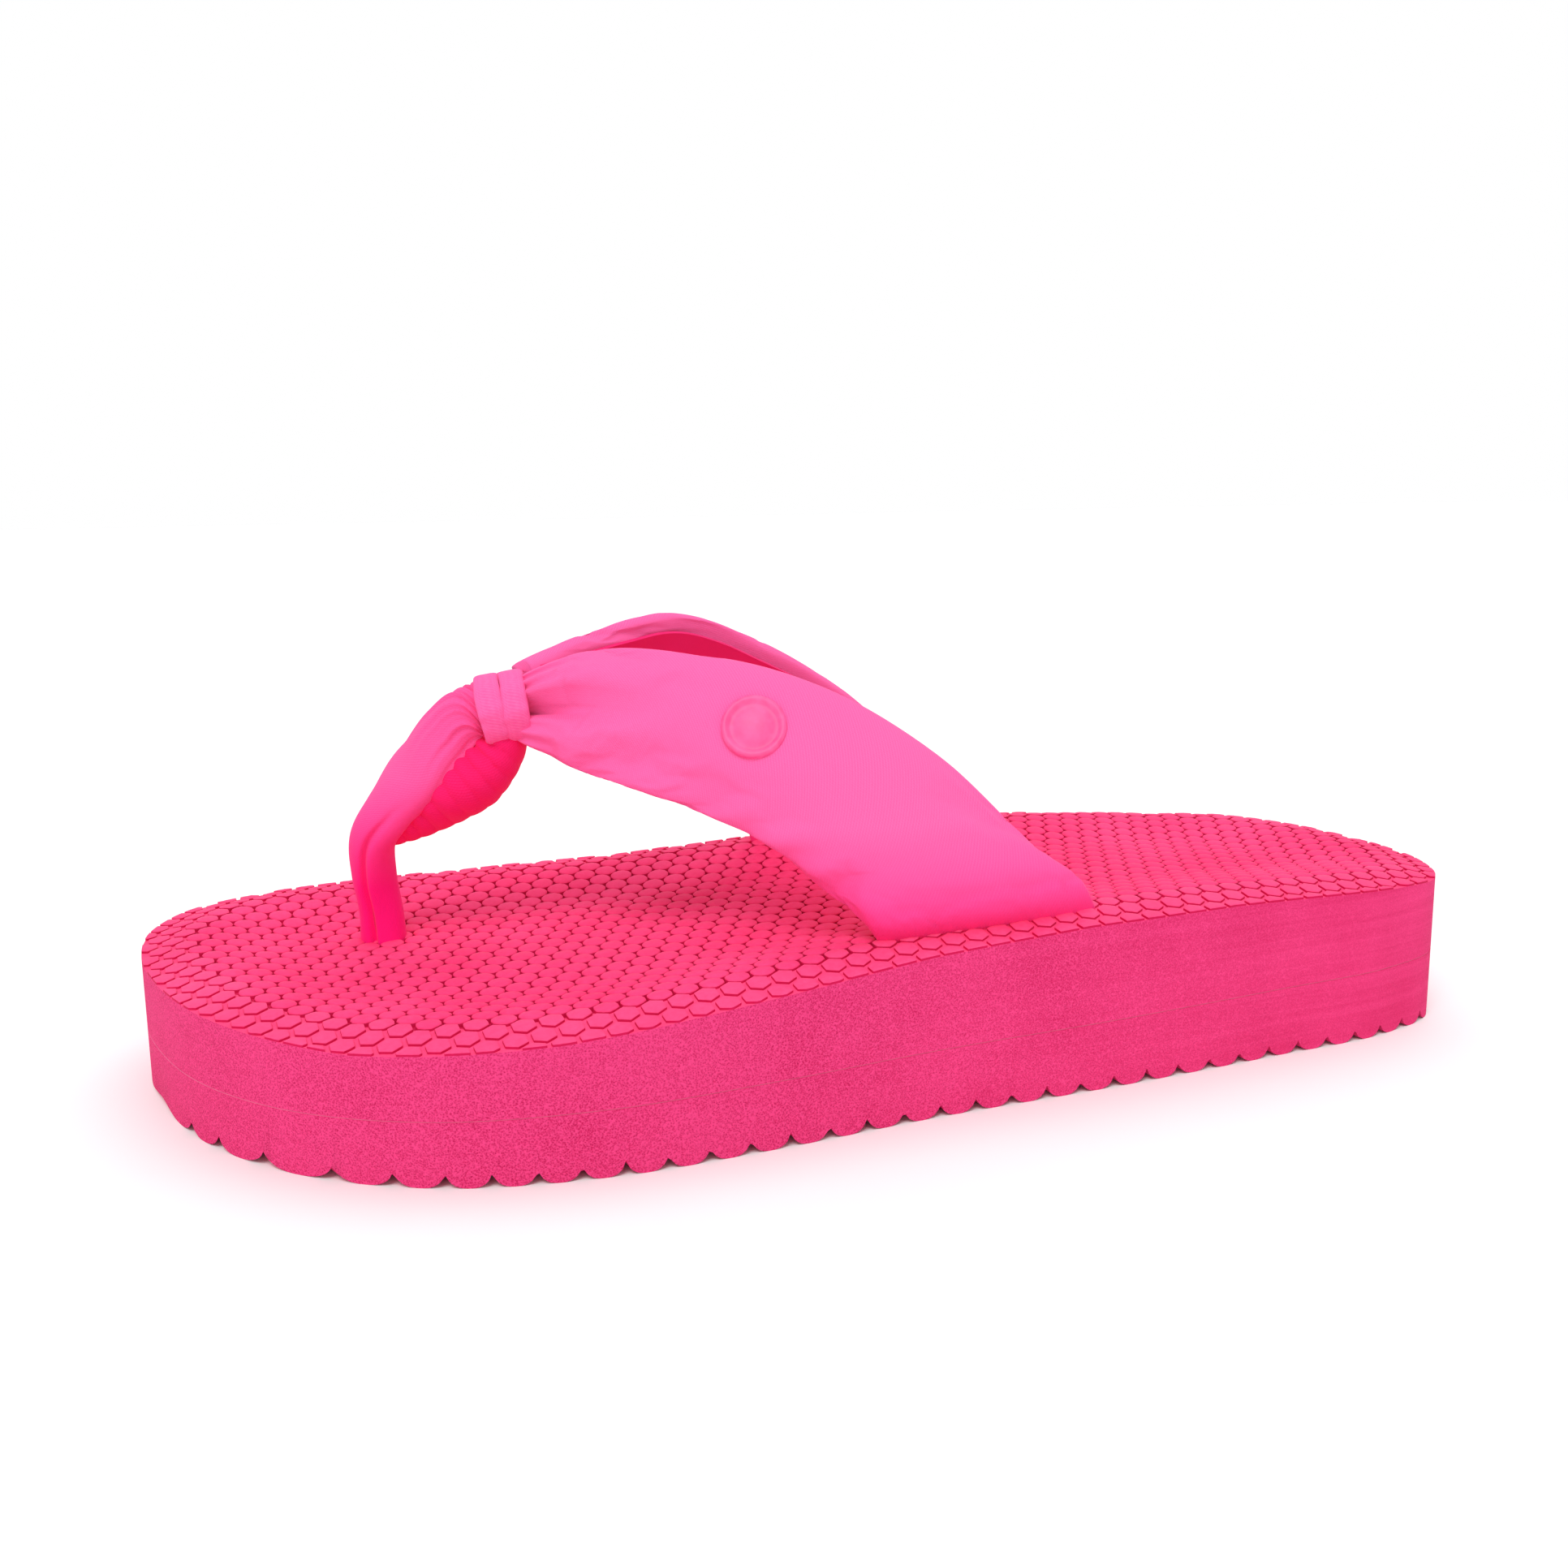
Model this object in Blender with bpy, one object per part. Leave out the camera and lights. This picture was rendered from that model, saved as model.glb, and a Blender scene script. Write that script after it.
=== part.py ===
"""A women's thong sandal for the left foot, with a padded fabric strap.

Millimetres are used for the driving dimensions and turned into metres when a mesh is made.
+X runs from toe to heel, +Y towards the inner side of the foot, +Z up. The origin is on the
ground under the middle of the sole. Each object is one physical piece.
"""

import math

import bmesh
import bpy
import numpy as np
from mathutils import Vector

MM = 0.001
CLEARANCE = 0.3

# Sole
LENGTH = 256.0
HALF = LENGTH / 2
OUTLINE = [
    (-128, 21), (-125.5, 3), (-118, -18), (-104, -36.5), (-84, -49.5), (-58, -55.2),
    (-30, -54.7), (0, -52.2), (40, -50.8), (75, -48.3), (104, -45.4), (117, -40.5), (125.5, -27),
    (128, -9), (125.5, 9), (115, 27.5), (95, 35.6), (60, 38), (30, 38.7), (0, 42), (-28, 48),
    (-58, 54), (-84, 56), (-105, 53.8), (-119, 47), (-126, 35),
]
RIM_X = [-128, -96, -64, -32, 0, 32, 64, 96, 128]
RIM_OUTER = [24, 22, 23.3, 26.4, 29.5, 31.3, 31.4, 30.4, 29]
RIM_INNER = [24.7, 25.4, 26.2, 27.9, 31.1, 33.2, 31.9, 29.5, 28.8]
SHOULDER = 9.0
SHOULDER_RISE = 1.2
DISH_RUN = 22.0
DISH_DEPTH = 2.2
BOND_MIDDLE = 12.25
BOND_RISE = 1.75

# Strap legs: each edge runs from the knot to its slot.
OUTER_REAR = [(-54.5, 5, 74.5), (-46, 1, 78), (-26, -11, 77), (-7, -22, 71), (10, -31, 60),
              (28, -39, 44), (39, -43.5, 34.4)]
OUTER_FRONT = [(-55.5, 2.5, 62), (-50, -6, 58), (-34, -20, 52), (-22, -30, 46), (-14, -36, 40),
               (-8, -41, 36), (-5, -43, 32.8)]
INNER_REAR = [(-54.5, 10, 76.5), (-43, 13, 80), (-24, 19, 83), (-1, 26, 75), (12, 30, 68),
              (27, 33, 57), (37, 33, 45), (41, 32, 36.6)]
INNER_FRONT = [(-55, 10, 64), (-48, 14, 61), (-32, 21, 56), (-18, 27, 50), (-8, 32, 42),
               (-4, 33.5, 38), (-3, 34, 35)]
BAND_BULGE = 3.5
GATHER, GATHER_RUN = 0.5, 0.25
COVER_OUT, COVER_IN = 2.3, 1.4
PAD_OUT, PAD_IN = 1.1, -1.1
LINING_OUT, LINING_IN = -1.4, -2.3

# Strap tails, their slots and anchors: middle of each slot, and the turn of the slot about Z
OUTER_SLOT = (17, -43, 0.0)
INNER_SLOT = (19, 33, -2.6)
SLOT_LENGTH, SLOT_WIDTH = 45.0, 3.0
TAIL_LENGTH, TAIL_THICK = 43.0, 2.0
ANCHOR_LENGTH, ANCHOR_WIDTH, ANCHOR_THICK = 50.0, 10.0, 3.0
ANCHOR_INSET = 3.0
RECESS_GAP = 0.6
CUT_UNDER, CUT_TOP = 4.0, 60.0

# Toe post and thong
POST = (-84, 17)
POST_LEAN = (-2.0, -2.0)
POST_HOLE_R = 3.0
CORE_R = 2.2
CORE_TOP = 44.0
DISC_R, DISC_THICK = 9.5, 3.0
THONG_PATH = [(-84, 17, 26.2), (-85, 16.4, 34), (-85.4, 15.6, 42), (-83, 14, 50),
              (-78, 11.8, 57.5), (-73.6, 9.6, 63.6), (-68.8, 7.6, 66.8)]
THONG_HALF_WIDTH = [4.4, 4.6, 5.4, 7.0, 8.2, 7.0, 4.9]
THONG_HALF_DEPTH = [4.0, 4.2, 4.0, 3.6, 3.6, 4.2, 4.9]
FOLD_PATH = [(-79.8, 13.6, 44.4), (-73.5, 11.6, 44.8), (-67.5, 9.4, 48), (-62.5, 7.2, 53),
             (-60.4, 5.8, 58.2)]
FOLD_HALF_WIDTH = [2.6, 5.5, 7.0, 6.0, 4.0]
FOLD_HALF_DEPTH = [1.6, 2.4, 3.0, 3.0, 2.2]

# Knot
KNOT = (-61, 6.4, 68)
KNOT_AXIS = (-1.0, 0.12, -0.14)
KNOT_R, KNOT_WALL = 7.0, 1.5
KNOT_HALF_LENGTH = 4.2

# Badge
BADGE_U, BADGE_V = 0.42, 0.55
BADGE_R, BADGE_THICK = 6.0, 2.6

PINK_SOLE = (0.73, 0.028, 0.155)
PINK_BED = (0.88, 0.035, 0.20)
PINK_FABRIC = (0.98, 0.17, 0.46)
PINK_LINING = (0.85, 0.03, 0.22)


def material(name, color, roughness, metallic=0.0):
    made = bpy.data.materials.new(name)
    made.use_nodes = True
    shader = made.node_tree.nodes["Principled BSDF"]
    shader.inputs["Base Color"].default_value = (*color, 1.0)
    shader.inputs["Roughness"].default_value = roughness
    shader.inputs["Metallic"].default_value = metallic
    made.diffuse_color = (*color, 1.0)
    return made


def add_object(name, points, faces, color, roughness):
    """A mesh object from points in millimetres, with its faces turned outwards."""
    mesh = bpy.data.meshes.new(name)
    mesh.from_pydata([tuple(float(c) * MM for c in p) for p in points], [], faces)
    shape = bmesh.new()
    shape.from_mesh(mesh)
    bmesh.ops.recalc_face_normals(shape, faces=shape.faces)
    shape.to_mesh(mesh)
    shape.free()
    mesh.shade_smooth()
    mesh.set_sharp_from_angle(angle=math.radians(40))
    obj = bpy.data.objects.new(name, mesh)
    obj.data.materials.append(material(name, color, roughness))
    bpy.context.collection.objects.link(obj)
    return obj


def smooth_curve(points, count, closed=False):
    """Evenly spaced points on a smooth curve through the given ones."""
    given = np.array(points, float)
    if closed:
        ring = np.vstack([given[-1], given, given[:2]])
    else:
        ring = np.vstack([2 * given[0] - given[1], given, 2 * given[-1] - given[-2]])
    step = np.linalg.norm(np.diff(ring, axis=0), axis=1)
    slope = np.diff(ring, axis=0) / step[:, None]
    before, after = step[:-1, None], step[1:, None]
    tangent = (slope[:-1] * after + slope[1:] * before) / (before + after)
    spans = len(given) if closed else len(given) - 1
    reach = np.concatenate([[0], np.cumsum(step[1 : spans + 1])])
    at = np.linspace(0, reach[-1], count, endpoint=not closed)
    k = np.clip(np.searchsorted(reach, at, side="right") - 1, 0, spans - 1)
    size = step[1 + k][:, None]
    t = ((at - reach[k])[:, None]) / size
    a, b = ring[1 + k], ring[2 + k]
    ta, tb = tangent[k] * size, tangent[np.minimum(k + 1, len(tangent) - 1)] * size
    if closed:
        tb = tangent[(k + 1) % len(given)] * size
    return (
        (2 * t**3 - 3 * t**2 + 1) * a
        + (t**3 - 2 * t**2 + t) * ta
        + (3 * t**2 - 2 * t**3) * b
        + (t**3 - t**2) * tb
    )


def ease(x):
    x = np.clip(x, 0, 1)
    return x * x * (3 - 2 * x)


EDGE = smooth_curve(OUTLINE, 480, closed=True)
EDGE[:, 1] -= (EDGE[:, 1].min() + EDGE[:, 1].max()) / 2
EDGE[:, 0] *= HALF / np.abs(EDGE[:, 0]).max()
TOE_TIP, HEEL_TIP = int(EDGE[:, 0].argmin()), int(EDGE[:, 0].argmax())


def side_of(x, inner):
    """The outline's Y at X on one side."""
    around = np.roll(EDGE, -TOE_TIP, axis=0)
    heel = (HEEL_TIP - TOE_TIP) % len(EDGE)
    run = np.vstack([around[heel:], around[:1]])[::-1] if inner else around[: heel + 1]
    return np.interp(x, run[:, 0], run[:, 1])


def distance_to_edge(x, y):
    at = np.stack([x, y], axis=-1)[..., None, :]
    return np.linalg.norm(at - EDGE, axis=-1).min(axis=-1)


def footbed_top(x, y):
    """Height of the foot's side of the sole."""
    outer, inner = side_of(x, False), side_of(x, True)
    across = np.clip((y - outer) / np.maximum(inner - outer, 0.01), 0, 1)
    rim = np.interp(x, RIM_X, RIM_OUTER) * (1 - across) + np.interp(x, RIM_X, RIM_INNER) * across
    inset = distance_to_edge(x, y)
    return rim + SHOULDER_RISE * ease(inset / SHOULDER) - DISH_DEPTH * ease((inset - SHOULDER) / DISH_RUN)


def bond_height(x):
    return BOND_MIDDLE + BOND_RISE * x / HALF


def grid_solid(name, top, bottom, color, roughness):
    """A closed solid between two grids of the same size."""
    rows, columns = top.shape[:2]
    points = np.vstack([top.reshape(-1, 3), bottom.reshape(-1, 3)])
    index = np.arange(rows * columns).reshape(rows, columns)
    under = index + rows * columns
    faces = []
    for i in range(rows - 1):
        for j in range(columns - 1):
            faces.append((index[i, j], index[i + 1, j], index[i + 1, j + 1], index[i, j + 1]))
            faces.append((under[i, j], under[i, j + 1], under[i + 1, j + 1], under[i + 1, j]))
    border = list(index[0]) + list(index[1:, -1]) + list(index[-1, -2::-1]) + list(index[-2:0:-1, 0])
    for a, b in zip(border, border[1:] + border[:1]):
        low = rows * columns
        faces.append((a, b, b + low, a + low))
    return add_object(name, points, [tuple(int(i) for i in face) for face in faces], color, roughness)


def sole_grid(height):
    """Stations along the sole, closer together at its round ends, and columns across it."""
    stations = HALF * np.cos(np.linspace(math.pi, 0, 35))
    stations[0] += 0.4
    stations[-1] -= 0.4
    across = (1 - np.cos(np.linspace(0, math.pi, 13))) / 2
    x = np.repeat(stations[:, None], len(across), axis=1)
    outer, inner = side_of(stations, False), side_of(stations, True)
    y = outer[:, None] + (inner - outer)[:, None] * across
    return np.stack([x, y, height(x, y)], axis=-1)


def cut(target, cutter):
    cutter.hide_render = True
    cutter.display_type = "WIRE"
    modifier = target.modifiers.new(cutter.name, "BOOLEAN")
    modifier.operation = "DIFFERENCE"
    modifier.object = cutter


def box_points(length, width, low, high, place):
    """Corners of a box turned about Z at place (x, y, degrees)."""
    turn = math.radians(place[2])
    along = np.array([math.cos(turn), math.sin(turn)])
    over = np.array([-along[1], along[0]])
    corners = []
    for z in (low, high):
        for a, b in ((-1, -1), (1, -1), (1, 1), (-1, 1)):
            flat = np.array(place[:2]) + a * length / 2 * along + b * width / 2 * over
            corners.append((*flat, z))
    return corners


BOX_FACES = [(0, 3, 2, 1), (4, 5, 6, 7), (0, 1, 5, 4), (1, 2, 6, 5), (2, 3, 7, 6), (3, 0, 4, 7)]


def rounded_box(name, length, width, low, high, place, color, roughness, bevel=0.0):
    obj = add_object(name, box_points(length, width, low, high, place), BOX_FACES, color, roughness)
    if bevel:
        modifier = obj.modifiers.new("rounded", "BEVEL")
        modifier.width = bevel * MM
        modifier.segments = 2
    return obj


def tube_solid(name, path, half_width, half_depth, color, roughness, sides=16, stations=18):
    """A closed oval tube along a path. Its width is measured across X and its depth along the bend."""
    middle = smooth_curve(path, stations)
    given = np.linspace(0, 1, len(path))
    along = np.linspace(0, 1, stations)
    wide, deep = np.interp(along, given, half_width), np.interp(along, given, half_depth)
    tangent = np.gradient(middle, axis=0)
    tangent /= np.linalg.norm(tangent, axis=1)[:, None]
    over = np.cross(tangent, np.array([1.0, 0, 0.35]))
    over /= np.linalg.norm(over, axis=1)[:, None]
    bend = np.cross(over, tangent)
    angle = np.linspace(0, 2 * math.pi, sides, endpoint=False)
    points = (
        middle[:, None]
        + over[:, None] * (wide[:, None] * np.cos(angle))[..., None]
        + bend[:, None] * (deep[:, None] * np.sin(angle))[..., None]
    ).reshape(-1, 3)
    faces = [
        (i * sides + j, i * sides + (j + 1) % sides, (i + 1) * sides + (j + 1) % sides, (i + 1) * sides + j)
        for i in range(stations - 1)
        for j in range(sides)
    ]
    faces.append(tuple(range(sides))[::-1])
    faces.append(tuple((stations - 1) * sides + j for j in range(sides)))
    return add_object(name, points, faces, color, roughness)


def round_solid(name, profile, place, axis, color, roughness, sides=32):
    """A turned solid: profile rows are (distance along the axis, radius), and a radius of 0 closes an end."""
    turn = Vector(axis).to_track_quat("Z", "Y")
    points, rings = [], []
    for height, radius in profile:
        count = sides if radius else 1
        rings.append(list(range(len(points), len(points) + count)))
        for k in range(count):
            angle = 2 * math.pi * k / sides
            local = Vector((radius * math.cos(angle), radius * math.sin(angle), height))
            points.append(Vector(place) + turn @ local)
    faces = []
    for low, high in zip(rings, rings[1:]):
        for k in range(sides):
            a, b = low[k % len(low)], low[(k + 1) % len(low)]
            c, d = high[(k + 1) % len(high)], high[k % len(high)]
            corners = list(dict.fromkeys((a, b, c, d)))
            faces.append(tuple(corners))
    return add_object(name, points, faces, color, roughness)


def ring_solid(name, start, end, color, roughness, sides=36):
    """One fabric turn of the knot, between two places along the knot's axis."""
    profile = [(start, KNOT_R - KNOT_WALL), (start, KNOT_R - 0.4), (start + 0.5, KNOT_R),
               (end - 0.5, KNOT_R), (end, KNOT_R - 0.4), (end, KNOT_R - KNOT_WALL)]
    turn = Vector(KNOT_AXIS).to_track_quat("Z", "Y")
    points = []
    for height, radius in profile:
        for k in range(sides):
            angle = 2 * math.pi * k / sides
            local = Vector((radius * math.cos(angle), radius * math.sin(angle), height))
            points.append(Vector(KNOT) + turn @ local)
    faces = []
    for i in range(len(profile)):
        low, high = i * sides, (i + 1) % len(profile) * sides
        for k in range(sides):
            n = (k + 1) % sides
            faces.append((low + k, low + n, high + n, high + k))
    return add_object(name, points, faces, color, roughness)


def band_surface(rear, front, outwards, rows=19, columns=8):
    """Middle surface of a strap leg and its outward normals, from knot to slot and front to rear."""
    a, b = smooth_curve(front, rows), smooth_curve(rear, rows)
    v = np.linspace(0, 1, columns)[None, :, None]
    flat = a[:, None] * (1 - v) + b[:, None] * v
    normal = np.cross(np.gradient(flat, axis=0), np.gradient(flat, axis=1))
    normal /= np.linalg.norm(normal, axis=-1)[..., None]
    normal *= np.sign((normal * np.array([0, outwards, 0.3])).sum(-1))[..., None]
    u = np.linspace(0, 1, rows)[:, None, None]
    bulge = BAND_BULGE * np.sin(math.pi * u) ** 0.7 * 4 * v * (1 - v)
    surface = flat + normal * bulge
    fresh = np.cross(np.gradient(surface, axis=0), np.gradient(surface, axis=1))
    fresh /= np.linalg.norm(fresh, axis=-1)[..., None]
    fresh *= np.sign((fresh * normal).sum(-1))[..., None]
    return surface, fresh


def anchor_place(slot):
    """An anchor lies a little nearer the sole's middle than its slot."""
    return (slot[0], slot[1] - math.copysign(ANCHOR_INSET, slot[1]), slot[2])


def strap_leg(side, rear, front, outwards, slot):
    surface, normal = band_surface(rear, front, outwards)
    full = GATHER + (1 - GATHER) * ease(np.linspace(0, 1, len(surface)) / GATHER_RUN)
    thick = normal * full[:, None, None]
    layers = [
        (f"strap_cover_{side}", COVER_OUT, COVER_IN, PINK_FABRIC, 0.8),
        (f"strap_pad_{side}", PAD_OUT, PAD_IN, (0.9, 0.85, 0.8), 0.95),
        (f"strap_lining_{side}", LINING_OUT, LINING_IN, PINK_LINING, 0.85),
    ]
    for name, out, inside, color, roughness in layers:
        grid_solid(name, surface + thick * out, surface + thick * inside, color, roughness)
    ground = bond_height(slot[0])
    tail_low = ground + CLEARANCE + ANCHOR_THICK + CLEARANCE
    tail_high = float(footbed_top(np.array(slot[0] - SLOT_LENGTH / 3), np.array(float(slot[1])))) - 0.5
    rounded_box(f"strap_tail_{side}", TAIL_LENGTH, TAIL_THICK, tail_low, tail_high, slot,
                PINK_FABRIC, 0.85, 0.4)
    low = ground + CLEARANCE + abs(BOND_RISE * ANCHOR_LENGTH / 2 / HALF)
    rounded_box(f"strap_anchor_{side}", ANCHOR_LENGTH, ANCHOR_WIDTH, low, low + ANCHOR_THICK - 0.6,
                anchor_place(slot),
                (0.82, 0.04, 0.2), 0.5, 0.8)
    return surface, normal


def slot_cutters(side, slot):
    ground = bond_height(slot[0])
    through = rounded_box(f"cutter_slot_{side}", SLOT_LENGTH, SLOT_WIDTH,
                          ground - CUT_UNDER, CUT_TOP, slot, PINK_BED, 1)
    top = ground + CLEARANCE + ANCHOR_THICK + 2 * CLEARANCE
    recess = rounded_box(f"cutter_recess_{side}", ANCHOR_LENGTH + 2 * RECESS_GAP,
                         ANCHOR_WIDTH + 2 * RECESS_GAP, ground - CUT_UNDER, top, anchor_place(slot),
                         PINK_BED, 1)
    return through, recess


def sole():
    bed = grid_solid("footbed", sole_grid(footbed_top),
                     sole_grid(lambda x, y: bond_height(x) + CLEARANCE / 2), PINK_BED, 0.75)
    grid_solid("outsole", sole_grid(lambda x, y: bond_height(x) - CLEARANCE / 2),
               sole_grid(lambda x, y: 0 * x), PINK_SOLE, 0.8)
    for side, slot in (("outer", OUTER_SLOT), ("inner", INNER_SLOT)):
        for cutter in slot_cutters(side, slot):
            cut(bed, cutter)
    ground = bond_height(POST[0])
    hole = round_solid("cutter_post_hole", [(-CUT_UNDER, 0), (-CUT_UNDER, POST_HOLE_R), (CUT_TOP, POST_HOLE_R), (CUT_TOP, 0)],
                       (*POST, ground), (0, 0, 1), PINK_BED, 1, 24)
    room = round_solid("cutter_post_recess",
                       [(-CUT_UNDER, 0), (-CUT_UNDER, DISC_R + RECESS_GAP),
                        (DISC_THICK + 4 * CLEARANCE, DISC_R + RECESS_GAP), (DISC_THICK + 4 * CLEARANCE, 0)],
                       (*POST, ground), (0, 0, 1), PINK_BED, 1, 32)
    cut(bed, hole)
    cut(bed, room)


def toe_post():
    ground = bond_height(POST[0]) + 2 * CLEARANCE
    round_solid("toe_post_anchor", [(0, 0), (0, DISC_R - 0.6), (0.6, DISC_R), (DISC_THICK - 0.8, DISC_R),
                                    (DISC_THICK - 0.2, DISC_R - 0.6), (DISC_THICK - 0.2, 0)],
                (*POST, ground), (0, 0, 1), PINK_SOLE, 0.5)
    base = ground + DISC_THICK + CLEARANCE
    axis = (POST_LEAN[0], POST_LEAN[1], CORE_TOP - base)
    length = math.hypot(*axis)
    round_solid("toe_post_core", [(0, 0), (0, CORE_R), (length, CORE_R), (length, 0)],
                (*POST, base), axis, (0.85, 0.03, 0.2), 0.85, 20)
    cover = tube_solid("thong_cover", THONG_PATH, THONG_HALF_WIDTH, THONG_HALF_DEPTH, PINK_FABRIC, 0.8)
    bore = round_solid("cutter_thong_bore", [(0, 0), (0, CORE_R + 0.4), (length + 0.5, CORE_R + 0.4),
                                             (length + 0.5, 0)],
                       (*POST, base), axis, PINK_BED, 1, 20)
    cut(cover, bore)
    tube_solid("thong_fold", FOLD_PATH, FOLD_HALF_WIDTH, FOLD_HALF_DEPTH, PINK_LINING, 0.85, 14, 12)


def knot():
    half, gap = KNOT_HALF_LENGTH, CLEARANCE / 2
    ring_solid("knot_band_front", gap, half, PINK_FABRIC, 0.8)
    ring_solid("knot_band_rear", -half, -gap, PINK_FABRIC, 0.8)
    radius = KNOT_R - KNOT_WALL - CLEARANCE
    round_solid("knot_bundle", [(-half + 0.2, 0), (-half + 0.2, radius - 0.8), (-half + 1, radius),
                                (half - 1, radius), (half - 0.2, radius - 0.8), (half - 0.2, 0)],
                KNOT, KNOT_AXIS, PINK_LINING, 0.9, 24)


def badge(surface, normal):
    """A plain round button on the outer leg."""
    rows, columns = surface.shape[:2]
    i, j = round(BADGE_U * (rows - 1)), round(BADGE_V * (columns - 1))
    place = surface[i, j] + normal[i, j] * (COVER_OUT + CLEARANCE)
    rim = [(0, 0), (0, BADGE_R - 0.4), (0.4, BADGE_R), (1.4, BADGE_R), (2.0, BADGE_R - 0.5)]
    dome = [(BADGE_THICK - 0.25, BADGE_R * 0.6), (BADGE_THICK, BADGE_R * 0.25), (BADGE_THICK, 0)]
    round_solid("badge", rim + dome, tuple(place), tuple(normal[i, j]), (0.93, 0.13, 0.38), 0.45)


def main():
    for old in list(bpy.data.objects):
        bpy.data.objects.remove(old, do_unlink=True)
    sole()
    surface, normal = strap_leg("outer", OUTER_REAR, OUTER_FRONT, -1, OUTER_SLOT)
    strap_leg("inner", INNER_REAR, INNER_FRONT, 1, INNER_SLOT)
    toe_post()
    knot()
    badge(surface, normal)


main()
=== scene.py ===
"""Looks for the thong sandal: foam sole with honeycomb and wavy tread, padded fabric strap, knot and thong.

Lengths are in millimetres and are turned into metres when a mesh is made. Material scales and heights are
in metres, as Blender gives object coordinates. The frame is the CAD's: +X from toe to heel, +Y towards
the inner side of the foot, +Z up, origin under the middle of the sole.
"""

import math

import bmesh
import bpy
import numpy as np
from mathutils import Matrix, Vector


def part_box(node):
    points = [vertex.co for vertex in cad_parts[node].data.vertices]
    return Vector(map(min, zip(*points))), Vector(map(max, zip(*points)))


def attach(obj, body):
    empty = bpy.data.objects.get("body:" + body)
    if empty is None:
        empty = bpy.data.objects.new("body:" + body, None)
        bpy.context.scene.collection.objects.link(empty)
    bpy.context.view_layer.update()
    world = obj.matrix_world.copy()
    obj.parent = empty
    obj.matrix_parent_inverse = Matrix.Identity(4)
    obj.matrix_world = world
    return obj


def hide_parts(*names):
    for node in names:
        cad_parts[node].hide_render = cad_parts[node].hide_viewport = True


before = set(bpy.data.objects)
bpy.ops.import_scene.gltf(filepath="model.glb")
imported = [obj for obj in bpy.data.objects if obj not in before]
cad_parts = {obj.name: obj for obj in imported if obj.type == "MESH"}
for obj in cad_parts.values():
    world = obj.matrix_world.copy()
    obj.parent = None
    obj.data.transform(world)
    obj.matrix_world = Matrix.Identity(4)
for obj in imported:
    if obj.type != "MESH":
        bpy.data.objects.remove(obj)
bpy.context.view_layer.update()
BODY = "root"
MM = 0.001

# The sole's outline and rim, as in the CAD
HALF = 128.0
OUTLINE = [
    (-128, 21), (-125.5, 3), (-118, -18), (-104, -36.5), (-84, -49.5), (-58, -55.2),
    (-30, -54.7), (0, -52.2), (40, -50.8), (75, -48.3), (104, -45.4), (117, -40.5), (125.5, -27),
    (128, -9), (125.5, 9), (115, 27.5), (95, 35.6), (60, 38), (30, 38.7), (0, 42), (-28, 48),
    (-58, 54), (-84, 56), (-105, 53.8), (-119, 47), (-126, 35),
]
RIM_X = [-128, -96, -64, -32, 0, 32, 64, 96, 128]
RIM_OUTER = [24, 22, 23.3, 26.4, 29.5, 31.3, 31.4, 30.4, 29]
RIM_INNER = [24.7, 25.4, 26.2, 27.9, 31.1, 33.2, 31.9, 29.5, 28.8]
SHOULDER, SHOULDER_RISE = 9.0, 1.2
DISH_RUN, DISH_DEPTH = 22.0, 2.2
BOND_MIDDLE, BOND_RISE = 12.25, 1.75
BOND_HALF = 0.12

# Honeycomb and tread. A cell is plate-like near the rim, and softens into a peg past SOFT_FROM from the edge.
CELL_PITCH = 4.58
CELL_TURN_DEGREES = 2.5
RIM_GROOVE, BED_GROOVE = 0.5, 1.15
CELL_DOME = 0.10
ROW_STEP = 0.866
SMALLEST_CELL = 0.10
SOFT_FROM, SOFT_RUN = 7.0, 5.0
RIM_BAND = 8.5
TREAD_PITCH, TREAD_DEPTH, TREAD_FIRST = 7.1, 3.0, -128.53
TREAD_WAVE, TREAD_LENGTH, TREAD_PHASE = 2.85, 50.0, 23.6
TREAD_ROUND = 2.4

# Stations along the sole and columns across it. The film also lies a little inside the outline.
BED_GRID, TREAD_GRID, FILM_GRID = (240, 49), (640, 65), (240, 5, 0.12)

# Strap legs, as in the CAD, with their ends carried down into the slots
OUTER_REAR = [(-56.5, 5.5, 74.5), (-46, 1, 78), (-26, -11, 77), (-7, -22, 71), (10, -31, 60),
              (27, -39.5, 43.3), (35.2, -43.3, 35.3), (38, -43.6, 30)]
OUTER_FRONT = [(-57.5, 4, 62), (-50, -6, 58), (-34, -20, 52), (-22, -30, 46), (-14, -36.5, 39),
               (-8, -42, 33.5), (-5, -43, 29)]
INNER_REAR = [(-56.5, 9, 76.5), (-43, 13, 80), (-24, 19, 83), (-1, 26, 75), (12, 30, 68),
              (27, 33.5, 57), (37, 34, 45), (41, 32.5, 33)]
INNER_FRONT = [(-57.5, 8, 64), (-48, 14, 61), (-32, 21, 56), (-18, 27, 50), (-8, 32, 42),
               (-4, 34, 36), (-3, 34, 31)]
BAND_BULGE = 3.5
BAND_THICK = 5.2
LINING_THICK = 0.7
CLOTH_FRAMES, CLOTH_CAP = 16, 1.6

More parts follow.
